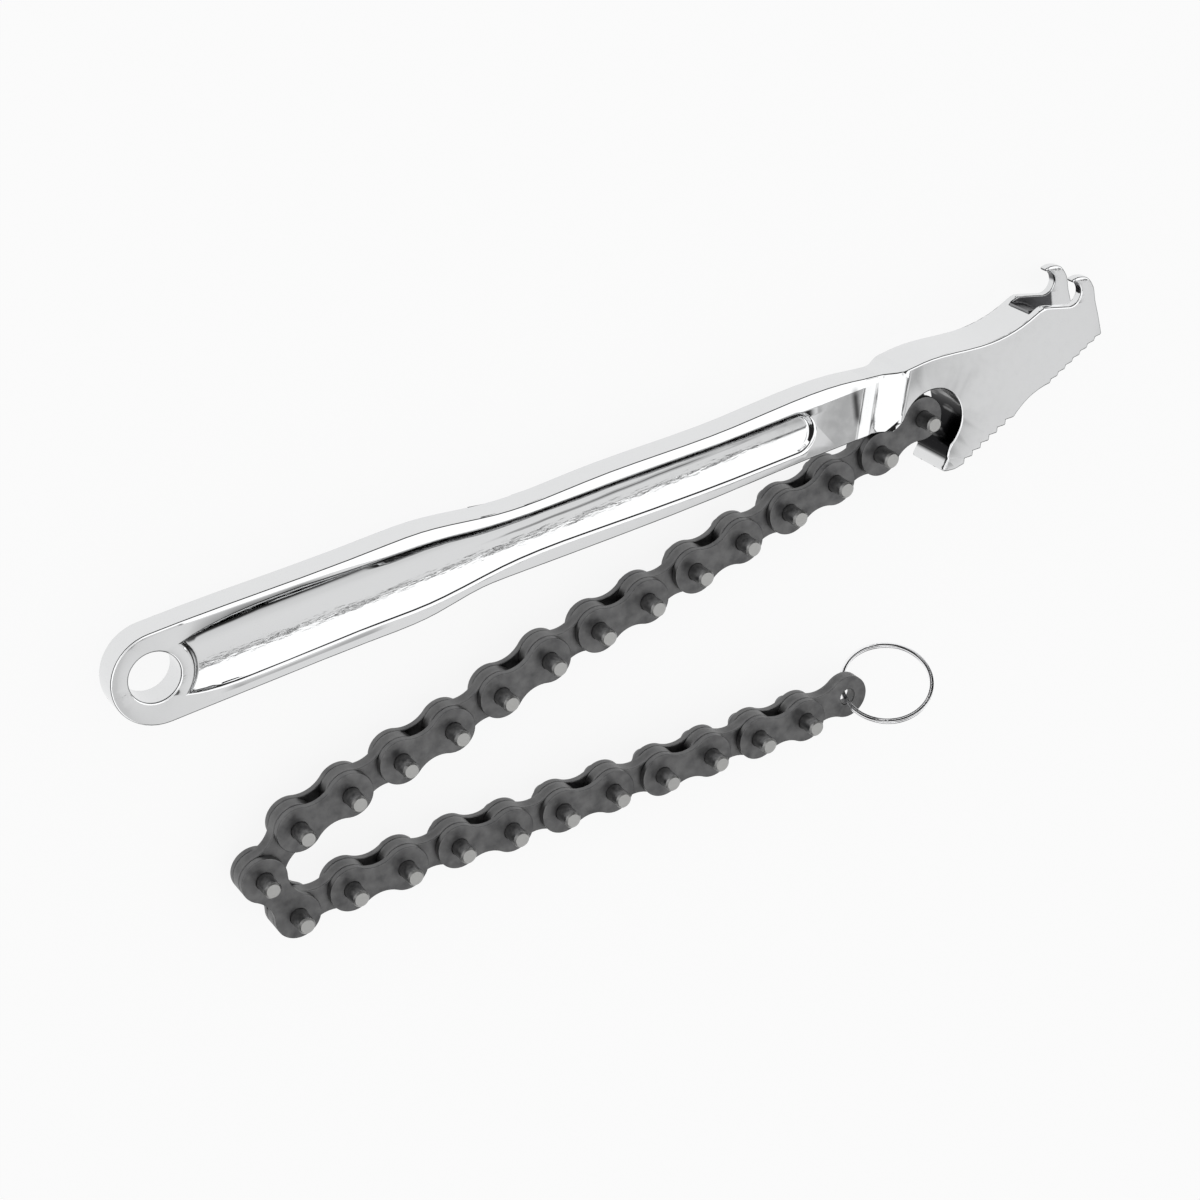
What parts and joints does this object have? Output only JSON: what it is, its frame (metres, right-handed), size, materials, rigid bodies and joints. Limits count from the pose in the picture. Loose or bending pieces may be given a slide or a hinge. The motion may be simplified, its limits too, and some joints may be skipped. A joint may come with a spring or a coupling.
{
  "type": "chain oil filter wrench",
  "caption": "Forged chrome handle with a toothed, hooked head, a steel chain whose long pins drop into the hooks, and a split ring at the chain's free end.",
  "frame": {"origin": "centre of the hang hole in the handle's eye, at half the handle's thickness", "axes": "+X along the handle from the hang hole to the head, +Z out of the handle's near broad face, along the hang hole"},
  "size_m": [0.3, 0.1105, 0.026],
  "materials": {
    "chrome_forging": "polished chrome plate over a forging",
    "chain_plate": "dark oiled steel plate",
    "pin_steel": "dark steel pin with bare cut ends",
    "ring_wire": "bright nickel plated wire"
  },
  "bodies": {
    "handle": {"handle": "chrome_forging"},
    "link_01": {"link_01_near_plate": "chain_plate", "link_01_far_plate": "chain_plate", "link_01_pins": "pin_steel"},
    "link_02": {"link_02_plates": "chain_plate"},
    "link_03": {"link_03_near_plate": "chain_plate", "link_03_far_plate": "chain_plate", "link_03_pins": "pin_steel"},
    "link_04": {"link_04_plates": "chain_plate"},
    "link_05": {"link_05_near_plate": "chain_plate", "link_05_far_plate": "chain_plate", "link_05_pins": "pin_steel"},
    "link_06": {"link_06_plates": "chain_plate"},
    "link_07": {"link_07_near_plate": "chain_plate", "link_07_far_plate": "chain_plate", "link_07_pins": "pin_steel"},
    "link_08": {"link_08_plates": "chain_plate"},
    "link_09": {"link_09_near_plate": "chain_plate", "link_09_far_plate": "chain_plate", "link_09_pins": "pin_steel"},
    "link_10": {"link_10_plates": "chain_plate"},
    "link_11": {"link_11_near_plate": "chain_plate", "link_11_far_plate": "chain_plate", "link_11_pins": "pin_steel"},
    "link_12": {"link_12_plates": "chain_plate"},
    "link_13": {"link_13_near_plate": "chain_plate", "link_13_far_plate": "chain_plate", "link_13_pins": "pin_steel"},
    "link_14": {"link_14_plates": "chain_plate"},
    "link_15": {"link_15_near_plate": "chain_plate", "link_15_far_plate": "chain_plate", "link_15_pins": "pin_steel"},
    "link_16": {"link_16_plates": "chain_plate"},
    "link_17": {"link_17_near_plate": "chain_plate", "link_17_far_plate": "chain_plate", "link_17_pins": "pin_steel"},
    "link_18": {"link_18_plates": "chain_plate"},
    "link_19": {"link_19_near_plate": "chain_plate", "link_19_far_plate": "chain_plate", "link_19_pins": "pin_steel"},
    "link_20": {"link_20_plates": "chain_plate"},
    "link_21": {"link_21_near_plate": "chain_plate", "link_21_far_plate": "chain_plate", "link_21_pins": "pin_steel"},
    "link_22": {"link_22_plates": "chain_plate"},
    "link_23": {"link_23_near_plate": "chain_plate", "link_23_far_plate": "chain_plate", "link_23_pins": "pin_steel"},
    "link_24": {"link_24_plates": "chain_plate"},
    "link_25": {"link_25_near_plate": "chain_plate", "link_25_far_plate": "chain_plate", "link_25_pins": "pin_steel"},
    "link_26": {"link_26_plates": "chain_plate"},
    "ring": {"split_ring": "ring_wire"}
  },
  "joints": [
    {"name": "pin_01_turn", "type": "hinge", "parent": "handle", "child": "link_01", "pos_m": [0.2275, -0.0132, 0], "axis": [0, 0, 1], "range_deg": [0, 50]},
    {"name": "pin_02_turn", "type": "hinge", "parent": "link_01", "child": "link_02", "pos_m": [0.21258, -0.01863, 0], "axis": [0, 0, -1], "range_deg": [-60, 6]},
    {"name": "pin_03_turn", "type": "hinge", "parent": "link_02", "child": "link_03", "pos_m": [0.19705, -0.02193, 0], "axis": [0, 0, 1], "range_deg": [-10, 14.4]},
    {"name": "pin_04_turn", "type": "hinge", "parent": "link_03", "child": "link_04", "pos_m": [0.18147, -0.02496, 0], "axis": [0, 0, 1], "range_deg": [-10, 13.4]},
    {"name": "pin_05_turn", "type": "hinge", "parent": "link_04", "child": "link_05", "pos_m": [0.16589, -0.02799, 0], "axis": [0, 0, 1], "range_deg": [-10, 13.5]},
    {"name": "pin_06_turn", "type": "hinge", "parent": "link_05", "child": "link_06", "pos_m": [0.1503, -0.03102, 0], "axis": [0, 0, 1], "range_deg": [-10, 13.5]},
    {"name": "pin_07_turn", "type": "hinge", "parent": "link_06", "child": "link_07", "pos_m": [0.13472, -0.03405, 0], "axis": [0, 0, 1], "range_deg": [-10, 15.5]},
    {"name": "pin_08_turn", "type": "hinge", "parent": "link_07", "child": "link_08", "pos_m": [0.11904, -0.03653, 0], "axis": [0, 0, 1], "range_deg": [-10, 12.4]},
    {"name": "pin_09_turn", "type": "hinge", "parent": "link_08", "child": "link_09", "pos_m": [0.10341, -0.03929, 0], "axis": [0, 0, 1], "range_deg": [-10, 7.3]},
    {"name": "pin_10_turn", "type": "hinge", "parent": "link_09", "child": "link_10", "pos_m": [0.08815, -0.04366, 0], "axis": [0, 0, 1], "range_deg": [-10, 14.2]},
    {"name": "pin_11_turn", "type": "hinge", "parent": "link_10", "child": "link_11", "pos_m": [0.07281, -0.04777, 0], "axis": [0, 0, 1], "range_deg": [-10, 18.1]},
    {"name": "pin_12_turn", "type": "hinge", "parent": "link_11", "child": "link_12", "pos_m": [0.05718, -0.05053, 0], "axis": [0, 0, 1], "range_deg": [-10, 11]},
    {"name": "pin_13_turn", "type": "hinge", "parent": "link_12", "child": "link_13", "pos_m": [0.04165, -0.05383, 0], "axis": [0, 0, 1], "range_deg": [-10, 11.8]},
    {"name": "pin_14_turn", "type": "hinge", "parent": "link_13", "child": "link_14", "pos_m": [0.02618, -0.0574, 0], "axis": [0, 0, -1], "range_deg": [-10, 14.3]},
    {"name": "pin_15_turn", "type": "hinge", "parent": "link_14", "child": "link_15", "pos_m": [0.01402, -0.0676, 0], "axis": [0, 0, -1], "range_deg": [-10, 61.4]},
    {"name": "pin_16_turn", "type": "hinge", "parent": "link_15", "child": "link_16", "pos_m": [0.02048, -0.08211, 0], "axis": [0, 0, -1], "range_deg": [-10, 56.5]},
    {"name": "pin_17_turn", "type": "hinge", "parent": "link_16", "child": "link_17", "pos_m": [0.03633, -0.08128, 0], "axis": [0, 0, 1], "range_deg": [-20, 17]},
    {"name": "pin_18_turn", "type": "hinge", "parent": "link_17", "child": "link_18", "pos_m": [0.05219, -0.08211, 0], "axis": [0, 0, 1], "range_deg": [-20, 11.3]},
    {"name": "pin_19_turn", "type": "hinge", "parent": "link_18", "child": "link_19", "pos_m": [0.06805, -0.08266, 0], "axis": [0, 0, 1], "range_deg": [-20, 18.3]},
    {"name": "pin_20_turn", "type": "hinge", "parent": "link_19", "child": "link_20", "pos_m": [0.08377, -0.08487, 0], "axis": [0, 0, 1], "range_deg": [-20, 8.3]},
    {"name": "pin_21_turn", "type": "hinge", "parent": "link_20", "child": "link_21", "pos_m": [0.09961, -0.08598, 0], "axis": [0, 0, 1], "range_deg": [-20, 11.3]},
    {"name": "pin_22_turn", "type": "hinge", "parent": "link_21", "child": "link_22", "pos_m": [0.11546, -0.08681, 0], "axis": [0, 0, 1], "range_deg": [-20, 15.4]},
    {"name": "pin_23_turn", "type": "hinge", "parent": "link_22", "child": "link_23", "pos_m": [0.13125, -0.08847, 0], "axis": [0, 0, 1], "range_deg": [-20, 9.5]},
    {"name": "pin_24_turn", "type": "hinge", "parent": "link_23", "child": "link_24", "pos_m": [0.1471, -0.0893, 0], "axis": [0, 0, 1], "range_deg": [-20, 13.6]},
    {"name": "pin_25_turn", "type": "hinge", "parent": "link_24", "child": "link_25", "pos_m": [0.16294, -0.09041, 0], "axis": [0, 0, 1], "range_deg": [-20, 12.7]},
    {"name": "pin_26_turn", "type": "hinge", "parent": "link_25", "child": "link_26", "pos_m": [0.17878, -0.09151, 0], "axis": [0, 0, -1], "range_deg": [-20, 20]},
    {"name": "ring_swing", "type": "hinge", "parent": "link_26", "child": "ring", "pos_m": [0.19465, -0.09124, 0], "axis": [0, 0, -1], "range_deg": [-60, 60]}
  ]
}
